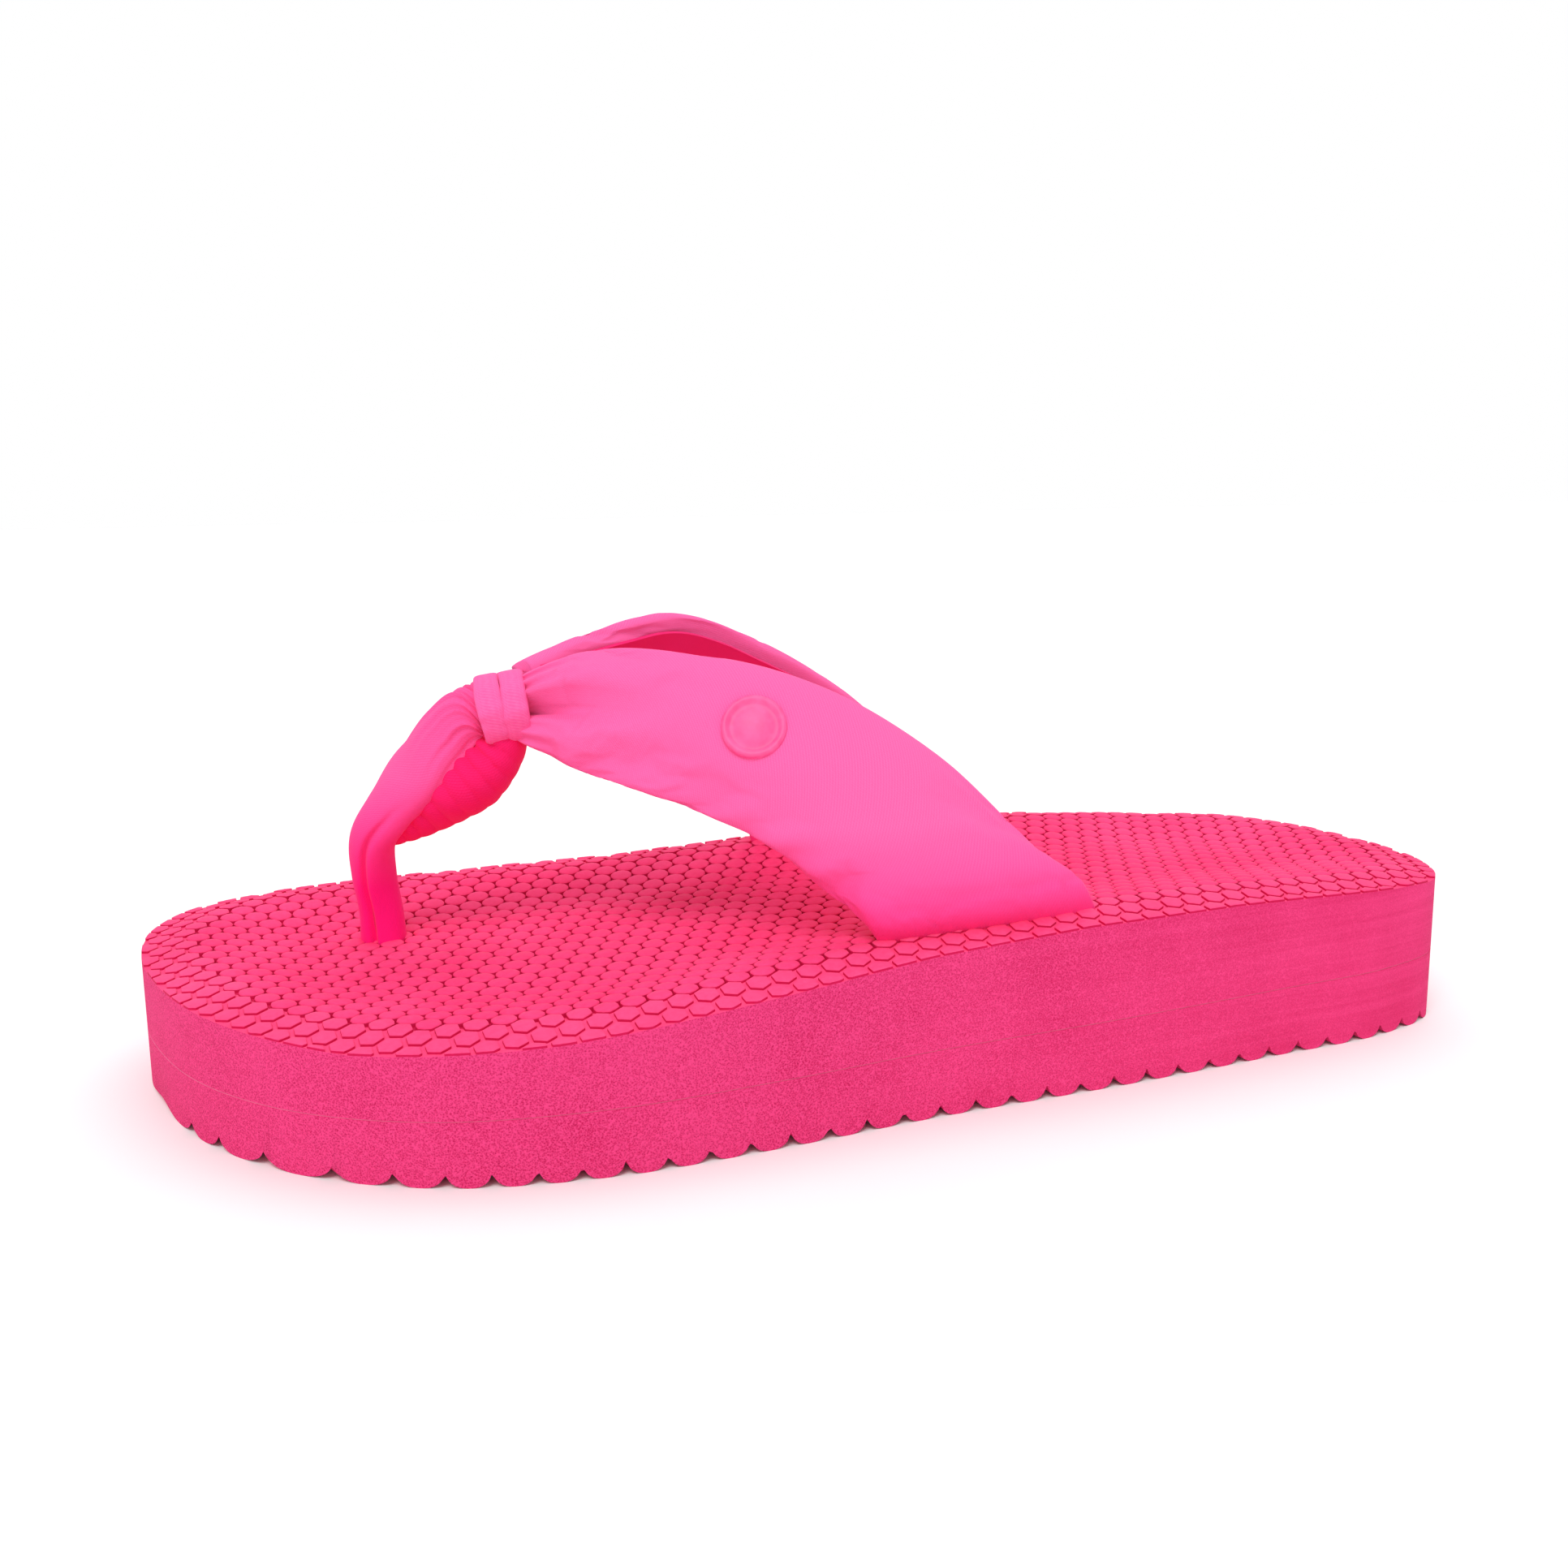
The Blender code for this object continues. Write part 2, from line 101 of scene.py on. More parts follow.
THONG_PATH = [(-84, 17, 22.5), (-84.3, 16.8, 28), (-85.4, 16.2, 36), (-85.2, 15.2, 43), (-81.4, 13.4, 50.2),
              (-75.4, 11.2, 57.2), (-70.4, 9.3, 63.4), (-66, 7.6, 67.4), (-62, 6.6, 68.4)]
THONG_HALF_WIDTH = [4.6, 4.2, 4.6, 5.6, 7.2, 8.0, 7.0, 5.4, 5]
THONG_HALF_DEPTH = [4.4, 4.1, 4.2, 4.2, 3.6, 4.0, 5.0, 5.6, 5.4]
FOLD_PATH = [(-83, 14.4, 44.5), (-78, 13, 47), (-72.5, 10.8, 51.5), (-67, 8.6, 55.5), (-62, 6.6, 61),
             (-60, 6.2, 66)]
FOLD_HALF_WIDTH = [3.0, 4.4, 6.2, 7.0, 6.0, 4.5]
FOLD_HALF_DEPTH = [2.6, 4.6, 6.8, 7.2, 5.6, 4.0]

KNOT = (-61, 6.4, 68)
KNOT_AXIS = (-1.0, 0.12, -0.14)

# Camera, solved from the view of the real pair
CAMERA_AT = (-112.4, -291.8, 110.3)
CAMERA_FORWARD = (0.3323, 0.9241, -0.1888)
CAMERA_RIGHT = (0.9403, -0.3403, -0.0105)
VIEW_WIDTH_DEGREES = 52.08

# Two wide softboxes, and a white surround that dims from SKY_FADE's first height (as a sine) to its second
KEY_LIGHT, TOP_LIGHT = 1.5, 0.95
SKY_FADE, SKY_ABOVE = (0.28, 0.55), 0.42


# ---------------------------------------------------------------- curves and sole heights


def smooth_curve(points, count, closed=False):
    """Evenly spaced points on a smooth curve through the given ones."""
    given = np.array(points, float)
    if closed:
        ring = np.vstack([given[-1], given, given[:2]])
    else:
        ring = np.vstack([2 * given[0] - given[1], given, 2 * given[-1] - given[-2]])
    step = np.linalg.norm(np.diff(ring, axis=0), axis=1)
    slope = np.diff(ring, axis=0) / step[:, None]
    before, after = step[:-1, None], step[1:, None]
    tangent = (slope[:-1] * after + slope[1:] * before) / (before + after)
    spans = len(given) if closed else len(given) - 1
    reach = np.concatenate([[0], np.cumsum(step[1 : spans + 1])])
    at = np.linspace(0, reach[-1], count, endpoint=not closed)
    k = np.clip(np.searchsorted(reach, at, side="right") - 1, 0, spans - 1)
    size = step[1 + k][:, None]
    t = (at - reach[k])[:, None] / size
    a, b = ring[1 + k], ring[2 + k]
    following = (k + 1) % len(given) if closed else np.minimum(k + 1, len(tangent) - 1)
    ta, tb = tangent[k] * size, tangent[following] * size
    return (
        (2 * t**3 - 3 * t**2 + 1) * a
        + (t**3 - 2 * t**2 + t) * ta
        + (3 * t**2 - 2 * t**3) * b
        + (t**3 - t**2) * tb
    )


def ease(x):
    x = np.clip(x, 0, 1)
    return x * x * (3 - 2 * x)


EDGE = smooth_curve(OUTLINE, 720, closed=True)
EDGE[:, 1] -= (EDGE[:, 1].min() + EDGE[:, 1].max()) / 2
EDGE[:, 0] *= HALF / np.abs(EDGE[:, 0]).max()
TOE_TIP, HEEL_TIP = int(EDGE[:, 0].argmin()), int(EDGE[:, 0].argmax())


def side_of(x, inner):
    """The outline's Y at X on one side."""
    around = np.roll(EDGE, -TOE_TIP, axis=0)
    heel = (HEEL_TIP - TOE_TIP) % len(EDGE)
    run = np.vstack([around[heel:], around[:1]])[::-1] if inner else around[: heel + 1]
    return np.interp(x, run[:, 0], run[:, 1])


def distance_to_edge(x, y):
    flat = np.stack([np.ravel(x), np.ravel(y)], axis=-1)
    found = [
        np.sqrt(((part[:, None] - EDGE[::2]) ** 2).sum(-1).min(axis=1))
        for part in np.array_split(flat, max(1, len(flat) // 4000))
    ]
    return np.concatenate(found).reshape(np.shape(x))


def footbed_top(x, y):
    """Height of the cells' tops."""
    outer, inner = side_of(x, False), side_of(x, True)
    across = np.clip((y - outer) / np.maximum(inner - outer, 0.01), 0, 1)
    rim = np.interp(x, RIM_X, RIM_OUTER) * (1 - across) + np.interp(x, RIM_X, RIM_INNER) * across
    inset = distance_to_edge(x, y)
    return rim + SHOULDER_RISE * ease(inset / SHOULDER) - DISH_DEPTH * ease((inset - SHOULDER) / DISH_RUN)


def bond_height(x):
    return BOND_MIDDLE + BOND_RISE * x / HALF


def tread_height(x, y):
    """Height of the underside: rounded ribs that meet in narrow wavy grooves."""
    wave = TREAD_WAVE * np.cos(2 * math.pi * (y - TREAD_PHASE) / TREAD_LENGTH)
    turns = (x - TREAD_FIRST + wave) / TREAD_PITCH
    off_middle = np.clip(1 - 2 * np.abs(turns - np.round(turns)), 0, 1)
    return TREAD_DEPTH * (1 - np.sqrt(1 - off_middle**TREAD_ROUND))


# ---------------------------------------------------------------- meshes


def add_mesh(name, points, faces, uv=None, angle=40):
    """A smooth mesh object from points in millimetres. uv holds a pair in millimetres for each point."""
    mesh = bpy.data.meshes.new(name)
    mesh.from_pydata((np.asarray(points, float) * MM).tolist(), [], faces)
    if uv is not None:
        layer = mesh.uv_layers.new(name="cloth")
        index = np.empty(len(mesh.loops), np.int32)
        mesh.loops.foreach_get("vertex_index", index)
        layer.data.foreach_set("uv", np.asarray(uv, np.float32)[index].ravel())
    shape = bmesh.new()
    shape.from_mesh(mesh)
    bmesh.ops.recalc_face_normals(shape, faces=shape.faces)
    shape.to_mesh(mesh)
    shape.free()
    mesh.shade_smooth()
    if angle:
        mesh.set_sharp_from_angle(angle=math.radians(angle))
    obj = bpy.data.objects.new(name, mesh)
    bpy.context.scene.collection.objects.link(obj)
    return obj


def grid_faces(rows, columns, first=0, around=False):
    """Quads of a grid of points. around joins the last column to the first."""
    i, j = np.meshgrid(np.arange(rows - 1), np.arange(columns if around else columns - 1), indexing="ij")
    n = (j + 1) % columns
    quads = np.stack([i * columns + j, (i + 1) * columns + j, (i + 1) * columns + n, i * columns + n], -1)
    return (quads.reshape(-1, 4) + first).tolist()


def tube_faces(rows, around):
    """Faces of a closed tube: the grid round it and its two ends."""
    ends = [tuple(range(around))[::-1], tuple((rows - 1) * around + j for j in range(around))]
    return grid_faces(rows, around, around=True) + ends


def grid_solid(name, top, bottom, uv=None, angle=40):
    """A closed solid between two grids of the same size."""
    rows, columns = top.shape[:2]
    low = rows * columns
    index = np.arange(low).reshape(rows, columns)
    border = list(index[0]) + list(index[1:, -1]) + list(index[-1, -2::-1]) + list(index[-2:0:-1, 0])
    faces = grid_faces(rows, columns) + [f[::-1] for f in grid_faces(rows, columns, low)]
    faces += [(int(a), int(b), int(b) + low, int(a) + low) for a, b in zip(border, border[1:] + border[:1])]
    points = np.vstack([top.reshape(-1, 3), bottom.reshape(-1, 3)])
    both = None if uv is None else np.vstack([uv.reshape(-1, 2), uv.reshape(-1, 2)])
    return add_mesh(name, points, faces, both, angle)


def sole_grid(height, rows, columns, inset=0.0):
    """Points over the sole's plan, closer together at its ends and sides."""
    stations = (HALF - inset) * np.cos(np.linspace(math.pi, 0, rows))
    stations[0] += 0.05
    stations[-1] -= 0.05
    across = (1 - np.cos(np.linspace(0, math.pi, columns))) / 2
    x = np.repeat(stations[:, None], columns, axis=1)
    outer, inner = side_of(stations, False), side_of(stations, True)
    narrow = np.minimum(inset, (inner - outer) / 2)
    outer, inner = outer + narrow, inner - narrow
    y = outer[:, None] + (inner - outer)[:, None] * across
    return np.stack([x, y, height(x, y)], axis=-1)


def clipped(polygon, middle):
    """The part of a cell that lies inside the outline."""
    for corner in [middle] + list(polygon):
        nearest = int(((EDGE - corner) ** 2).sum(-1).argmin())
        at = EDGE[nearest]
        along = EDGE[(nearest + 1) % len(EDGE)] - EDGE[nearest - 1]
        inwards = np.array([-along[1], along[0]]) / np.linalg.norm(along)
        depth = (polygon - at) @ inwards - 0.03
        if depth.min() >= 0:
            continue
        kept = []
        for a, b, da, db in zip(polygon, np.roll(polygon, -1, 0), depth, np.roll(depth, -1)):
            if da >= 0:
                kept.append(a)
            if (da >= 0) != (db >= 0):
                kept.append(a + (b - a) * da / (da - db))
        polygon = np.array(kept)
        if len(polygon) < 3:
            return None
    return polygon


def softness(inset):
    """0 for the flat plates near the rim, 1 for the pegs further in."""
    return ease((inset - SOFT_FROM) / SOFT_RUN)


def bed_floor(x, y):
    """Height of the grooves between the cells, shallow near the rim and deeper further in."""
    return footbed_top(x, y) - RIM_GROOVE - (BED_GROOVE - RIM_GROOVE) * softness(distance_to_edge(x, y))


def cell_polygon(soft):
    """One cell's plan: corners and side middles in turn, with a corner towards each side of the sole."""
    angle = np.linspace(0, 2 * math.pi, 12, endpoint=False) + math.pi / 6
    corner, flat = 0.82 + 0.03 * soft, 0.82 + 0.165 * soft
    radius = CELL_PITCH / 2 * np.where(np.arange(12) % 2 == 0, corner * 2 / math.sqrt(3), flat)
    return np.stack([np.cos(angle), np.sin(angle)], -1) * radius[:, None]


def honeycomb_cells():
    """The plan of every cell: (polygon, middle, how soft)."""
    turn = math.radians(CELL_TURN_DEGREES)
    rotate = np.array([[math.cos(turn), -math.sin(turn)], [math.sin(turn), math.cos(turn)]])
    reach = CELL_PITCH / math.sqrt(3)
    full_area = ROW_STEP * CELL_PITCH * CELL_PITCH
    columns, rows = math.ceil(HALF / CELL_PITCH) + 3, math.ceil(HALF / 2 / CELL_PITCH) + 3
    cells = []
    for j in range(-rows, rows + 1):
        for i in range(-columns, columns + 1):
            middle = rotate @ np.array([(i + 0.5 * (j % 2)) * CELL_PITCH, j * ROW_STEP * CELL_PITCH])
            x = float(np.clip(middle[0], -HALF, HALF))
            outer, inner = float(side_of(x, False)), float(side_of(x, True))
            if abs(middle[0]) > HALF + reach or middle[1] < outer - reach or middle[1] > inner + reach:
                continue
            inset = float(np.sqrt(((EDGE - middle) ** 2).sum(-1).min()))
            inside = outer < middle[1] < inner and abs(middle[0]) < HALF
            soft = float(softness(inset)) if inside else 0.0
            polygon = cell_polygon(soft) @ rotate.T + middle
            if inset < reach * 1.05:
                polygon = clipped(polygon, middle)
                if polygon is None:
                    continue
                a, b = polygon, np.roll(polygon, -1, 0)
                if abs((a[:, 0] * b[:, 1] - a[:, 1] * b[:, 0]).sum()) / 2 < SMALLEST_CELL * full_area:
                    continue
            elif not inside:
                continue
            cells.append((polygon, polygon.mean(axis=0), soft))
    return cells


def honeycomb():
    """Raised cells: flat plates near the rim, and rounder pegs further in."""
    plan, lift, faces, shade, start = [], [], [], [], 0
    for polygon, middle, soft in honeycomb_cells():
        # Rings from the root in the foam up to the dome: (share of the plan, height over the footbed's top)
        levels = [(1.0, -BED_GROOVE - 0.4), (1.0, -0.12 - 0.18 * soft),
                  (0.975 - 0.04 * soft, -0.03 - 0.10 * soft), (0.93 - 0.11 * soft, 0.0),
                  (0.45, CELL_DOME + 0.08 * soft)]
        # Cells further in take the darker copy of the cell colour, as painted shade.
        skin = int(soft > 0.5)
        count = len(polygon)
        for scale, rise in levels:
            plan.extend(middle + (polygon - middle) * scale)
            lift.extend([rise] * count)
        plan.append(middle)
        lift.append(CELL_DOME + 0.13 * soft + 0.02)
        top = start + count * len(levels)
        for ring in range(len(levels) - 1):
            a = start + ring * count
            faces += [(a + k, a + (k + 1) % count, a + count + (k + 1) % count, a + count + k)
                      for k in range(count)]
            # The lowest ring of wall faces takes the dark groove colour: painted shade in the recesses.
            shade += [skin if ring else 2] * count
        last = top - count
        faces += [(last + k, last + (k + 1) % count, top) for k in range(count)]
        faces.append(tuple(start + k for k in range(count))[::-1])
        shade += [skin] * (count + 1)
        start = top + 1
    plan, lift = np.array(plan), np.array(lift)
    x, y = plan[:, 0], plan[:, 1]
    points = np.stack([x, y, footbed_top(np.clip(x, -HALF, HALF), y) + lift], -1)
    cells = add_mesh("footbed_cells", points, faces, angle=50)
    dress(cells, RIM_CELLS, BED_CELLS_SHADED, GROOVE_SHADE)
    cells.data.polygons.foreach_set("material_index", shade)
    return cells


def boxed(wave, power):
    """A sine or cosine with its shape squared off, so that an oval turns into a rounded bar."""
    return np.sign(wave) * np.abs(wave) ** power


def turned_frames(middle, up):
    """Unit vectors across a path, and square to it towards up, at each of its points."""
    tangent = np.gradient(middle, axis=0)
    tangent /= np.linalg.norm(tangent, axis=1)[:, None]
    over = np.cross(tangent, np.array(up, float))
    over /= np.linalg.norm(over, axis=1)[:, None]
    return over, np.cross(over, tangent)


def tube(name, path, half_width, half_depth, shape, sides=96, stations=120, up=(1, 0, 0.35)):
    """A closed tube whose radius is multiplied by shape(along, angle), with along from 0 to 1."""
    middle = smooth_curve(path, stations)
    given, along = np.linspace(0, 1, len(path)), np.linspace(0, 1, stations)
    wide = smooth_curve(np.stack([given * 60, half_width], -1), stations)[:, 1]
    deep = smooth_curve(np.stack([given * 60, half_depth], -1), stations)[:, 1]
    over, bend = turned_frames(middle, up)
    angle = np.linspace(0, 2 * math.pi, sides, endpoint=False)
    factor = shape(along[:, None], angle[None, :])
    points = (
        middle[:, None]
        + over[:, None] * (wide[:, None] * np.cos(angle) * factor)[..., None]
        + bend[:, None] * (deep[:, None] * np.sin(angle) * factor)[..., None]
    )
    length = np.linalg.norm(np.diff(middle, axis=0), axis=1).sum()
    round_it = float(wide.mean() + deep.mean()) * math.pi
    uv = np.stack(np.broadcast_arrays(along[:, None] * length, angle[None, :] / (2 * math.pi) * round_it), -1)
    return add_mesh(name, points.reshape(-1, 3), tube_faces(stations, sides), uv.reshape(-1, 2), 60)


# ---------------------------------------------------------------- strap legs


def band_surface(rear, front, outwards, rows, columns):
    """Middle surface of a strap leg and its outward normals, from knot to slot and front to rear."""
    a, b = smooth_curve(front, rows), smooth_curve(rear, rows)
    v = np.linspace(0, 1, columns)[None, :, None]
    flat = a[:, None] * (1 - v) + b[:, None] * v
    normal = np.cross(np.gradient(flat, axis=0), np.gradient(flat, axis=1))
    normal /= np.linalg.norm(normal, axis=-1)[..., None]
    normal *= np.sign((normal * np.array([0, outwards, 0.3])).sum(-1))[..., None]
    u = np.linspace(0, 1, rows)[:, None, None]
    surface = flat + normal * BAND_BULGE * np.sin(math.pi * u) ** 0.7 * 4 * v * (1 - v)
    fresh = np.cross(np.gradient(surface, axis=0), np.gradient(surface, axis=1))
    fresh /= np.linalg.norm(fresh, axis=-1)[..., None]
    fresh *= np.sign((fresh * normal).sum(-1))[..., None]
    return surface, fresh


def waves(u, v, seed):
    """Soft unevenness of stretched cloth, without any noise table."""
    return (
        np.sin(5.1 * u + 3.7 * v + seed)
        + 0.6 * np.sin(11.3 * u - 6.2 * v + 2.1 * seed)
        + 0.35 * np.sin(19.0 * u + 13.0 * v + 0.7 * seed)
    )


def band_relief(u, v, seed):
    """Height of the cover's unevenness: gathers and a deep fold out of the knot, and a slack front edge."""
    near = 1 - ease(u / 0.30)
    fold = -5.6 * np.exp(-(((v - 0.44 - 0.22 * u) / (0.07 + 0.22 * u)) ** 2)) * (1 - ease(u / 0.38))
    lobe = 1.3 * np.exp(-(((v - 0.66) / 0.16) ** 2)) * ease(u / 0.06) * (1 - ease((u - 0.06) / 0.26))
    pleats = 0.6 * np.sin(2 * math.pi * 6.5 * v + seed + 3 * u) * near * (1 - ease(u / 0.2))
    slack = 0.8 * np.sin(2 * math.pi * (6.5 * u + 0.3 * np.sin(9 * u))) * (1 - ease(v / 0.24)) * ease(u / 0.15)
    base = 1.1 * ease((u - 0.80) / 0.12) * (1 - ease((u - 0.93) / 0.07))
    return fold + lobe + pleats + slack + base + 0.26 * waves(u * 1.7, v * 1.2, seed)


def strap_leg(side, rear, front, outwards, seed):
    """The padded cover as a closed flat tube of cloth, and the lining on its inner face."""
    rows, columns, around = 150, 81, 112
    surface, normal = band_surface(rear, front, outwards, rows, columns)
    angle = np.linspace(0, 2 * math.pi, around, endpoint=False)
    u = np.linspace(0, 1, rows)[:, None]
    across = 0.5 - 0.5 * boxed(np.cos(angle), 0.55)
    offset = boxed(np.sin(angle), 0.75)
    at = np.broadcast_to(across * (columns - 1), (rows, around))
    low = np.clip(at.astype(int), 0, columns - 2)
    part = (at - low)[..., None]
    line = np.arange(rows)[:, None]
    middle = surface[line, low] * (1 - part) + surface[line, low + 1] * part
    out = normal[line, low] * (1 - part) + normal[line, low + 1] * part
    v = np.broadcast_to(across, (rows, around))
    swell = 1 + 0.45 * (1 - ease(u / 0.12)) - 0.42 * ease((u - 0.93) / 0.07)
    relief = band_relief(u, v, seed) * np.clip(offset, 0, 1) ** 0.5
    height = BAND_THICK / 2 * swell * offset + relief
    points = middle + out * height[..., None]
    length = np.linalg.norm(np.diff(surface[:, columns // 2], axis=0), axis=1).sum()
    section = middle[rows // 2] + out[rows // 2] * (BAND_THICK / 2 * offset)[:, None]
    round_it = np.concatenate([[0], np.cumsum(np.linalg.norm(np.diff(section, axis=0), axis=1))])
    uv = np.stack(np.broadcast_arrays(u * length, round_it[None, :]), -1)
    faces = tube_faces(rows, around)
    cover = add_mesh(f"leg_cover_{side}", points.reshape(-1, 3), faces, uv.reshape(-1, 2), 0)
    puff(cover, rows, around)
    inner = slice(6, columns - 6)
    ripple = 0.12 * waves(u * 4, np.linspace(0, 1, columns)[inner][None, :], seed + 1)
    base = surface[:, inner] + normal[:, inner] * (ripple - BAND_THICK / 2 - 0.1)[..., None]
    back = base - normal[:, inner] * LINING_THICK
    lining = grid_solid(f"leg_lining_{side}", base[3:-3], back[3:-3], angle=60)
    return cover, lining


def puff(cover, rows, around):
    """Swells the cover over its padding with a short cloth simulation, held at its ends and to a small move."""
    mesh = cover.data
    before = np.empty(len(mesh.vertices) * 3, np.float32)
    mesh.vertices.foreach_get("co", before)
    pinned = cover.vertex_groups.new(name="pinned")
    for i in range(rows):
        at = i / (rows - 1)
        weight = float(1 - ease(min(at, 1 - at) / 0.10))
        pinned.add([i * around + j for j in range(around)], max(weight, 0.04), "REPLACE")
    cloth = cover.modifiers.new("puff", "CLOTH")
    settings = cloth.settings
    settings.quality = 6
    settings.mass = 0.3
    settings.tension_stiffness = settings.compression_stiffness = 12
    settings.shear_stiffness = 6
    settings.bending_stiffness = 0.4
    settings.vertex_group_mass = "pinned"
    settings.pin_stiffness = 0.6
    settings.use_pressure = True
    settings.uniform_pressure_force = 3.0
    settings.shrink_min = -0.015
    settings.effector_weights.gravity = 0.0
    cloth.collision_settings.use_collision = False
    cloth.point_cache.frame_start, cloth.point_cache.frame_end = 1, CLOTH_FRAMES
    for step in range(1, CLOTH_FRAMES + 1):
        bpy.context.scene.frame_set(step)
    graph = bpy.context.evaluated_depsgraph_get()
    swollen = cover.evaluated_get(graph).to_mesh()
    after = np.empty(len(swollen.vertices) * 3, np.float32)
    swollen.vertices.foreach_get("co", after)
    cover.evaluated_get(graph).to_mesh_clear()
    cover.modifiers.clear()
    bpy.context.scene.frame_set(1)
    move = (after - before).reshape(-1, 3)
    size = np.linalg.norm(move, axis=1)
    cap = CLOTH_CAP * MM
    move *= (cap * np.tanh(size / cap) / np.maximum(size, 1e-9))[:, None]
    mesh.vertices.foreach_set("co", (before.reshape(-1, 3) + move).ravel())
    mesh.update()


# ---------------------------------------------------------------- knot, thong and badge


def knot_ring(name, start, end, seed):
    """One turn of cloth round the knot, its hollow side towards the bundle."""
    turn = Vector(KNOT_AXIS).to_track_quat("Z", "Y")
    sides, section = 160, 28
    angle = np.linspace(0, 2 * math.pi, sides, endpoint=False)[:, None]
    s = np.linspace(0, 2 * math.pi, section, endpoint=False)[None, :]
    across, thick = boxed(np.cos(s), 0.5), boxed(np.sin(s), 0.8)
    crinkle = 0.10 * np.sin(9 * angle + seed) + 0.07 * np.sin(17 * angle + 2 * seed) * across
    middle_z = (start + end) / 2 + 0.25 * np.sin(2 * angle + seed)
    z = middle_z + across * ((end - start) / 2 + 0.3 + 0.1 * np.sin(3 * angle + seed))
    radius = 6.3 + 0.9 * thick + crinkle
    oval = 1 + 0.05 * np.cos(2 * angle + 0.4)
    local = np.stack(np.broadcast_arrays(radius * oval * np.cos(angle), radius * oval * np.sin(angle), z), -1)
    matrix = np.array(turn.to_matrix())
    points = local.reshape(-1, 3) @ matrix.T + np.array(KNOT)
    uv = np.stack(np.broadcast_arrays(angle * 6.5, s * 1.5), -1).reshape(-1, 2)
    faces = grid_faces(sides, section, around=True)
    last = (sides - 1) * section
    faces += [(last + j, j, (j + 1) % section, last + (j + 1) % section) for j in range(section)]
    return add_mesh(name, points, faces, uv, 0)


def thong_shape(along, angle):
    """A long crease down the post, and gathers that spread from the knot."""
    crease = 0.30 * np.exp(-(((angle - 3.75) / 0.16) ** 2)) * (1 - ease((along - 0.30) / 0.3))
    second = 0.16 * np.exp(-(((angle - 5.35) / 0.14) ** 2)) * (1 - ease((along - 0.25) / 0.25))
    knot = ease((along - 0.62) / 0.3)
    gathers = (0.045 * np.sin(13 * angle + 1.0) + 0.03 * np.sin(21 * angle + 2.2)) * knot
    slack = 0.03 * np.sin(3 * angle + 14 * along) * (1 - knot)
    return 1 - crease - second + gathers + slack


def fold_shape(along, angle):
    """Pleats that run round the loop, deepest on the side towards the sleeve."""
    inner = 0.5 - 0.5 * np.sin(angle)
    phase = 2 * math.pi * (11 * along + 0.35 * np.sin(angle + 0.6) + 0.3 * np.sin(7 * along))
    pleats = np.abs(np.sin(phase / 2)) ** 0.7
    depth = 0.012 + 0.17 * inner * (0.7 + 0.3 * np.sin(9 * along))
    return 1 - depth * (1 - pleats) + 0.03 * np.sin(3 * angle + 5 * along)


def badge():
    """A plain round button with a raised rim and a low dome."""
    low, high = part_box("badge")
    middle = (np.array(low) + np.array(high)) / 2 / MM
    # The largest face that looks sideways is the button's flat back, so its normal is the button's axis.
    facing = max(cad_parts["badge"].data.polygons, key=lambda f: f.area * abs(f.normal.y))
    axis = np.array(facing.normal) * (1 if facing.normal.y < 0 else -1)
    # (distance along the axis, radius), from the middle of the back to the middle of the dome
    profile = [(-1.6, 0.0), (-1.6, 5.2), (-1.3, 5.7), (-0.4, 5.95), (0.6, 5.9), (1.05, 5.6), (1.15, 5.2),
               (1.0, 4.8), (0.7, 4.45), (0.62, 4.1), (0.85, 3.4), (1.15, 2.2), (1.3, 1.0), (1.33, 0.0)]
    turn = np.array(Vector(axis).to_track_quat("Z", "Y").to_matrix())
    sides = 96
    angle = np.linspace(0, 2 * math.pi, sides, endpoint=False)
    local = np.array([[(r * math.cos(a), r * math.sin(a), z) for a in angle] for z, r in profile[1:-1]])
    ends = [[0, 0, profile[0][0]], [0, 0, profile[-1][0]]]
    points = np.vstack([local.reshape(-1, 3), ends]) @ turn.T + middle
    rows = len(profile) - 2
    faces = grid_faces(rows, sides, around=True)
    foot, tip = rows * sides, rows * sides + 1
    faces += [((k + 1) % sides, k, foot) for k in range(sides)]
    faces += [((rows - 1) * sides + k, (rows - 1) * sides + (k + 1) % sides, tip) for k in range(sides)]
    return add_mesh("badge_button", points, faces, angle=70)


# ---------------------------------------------------------------- materials


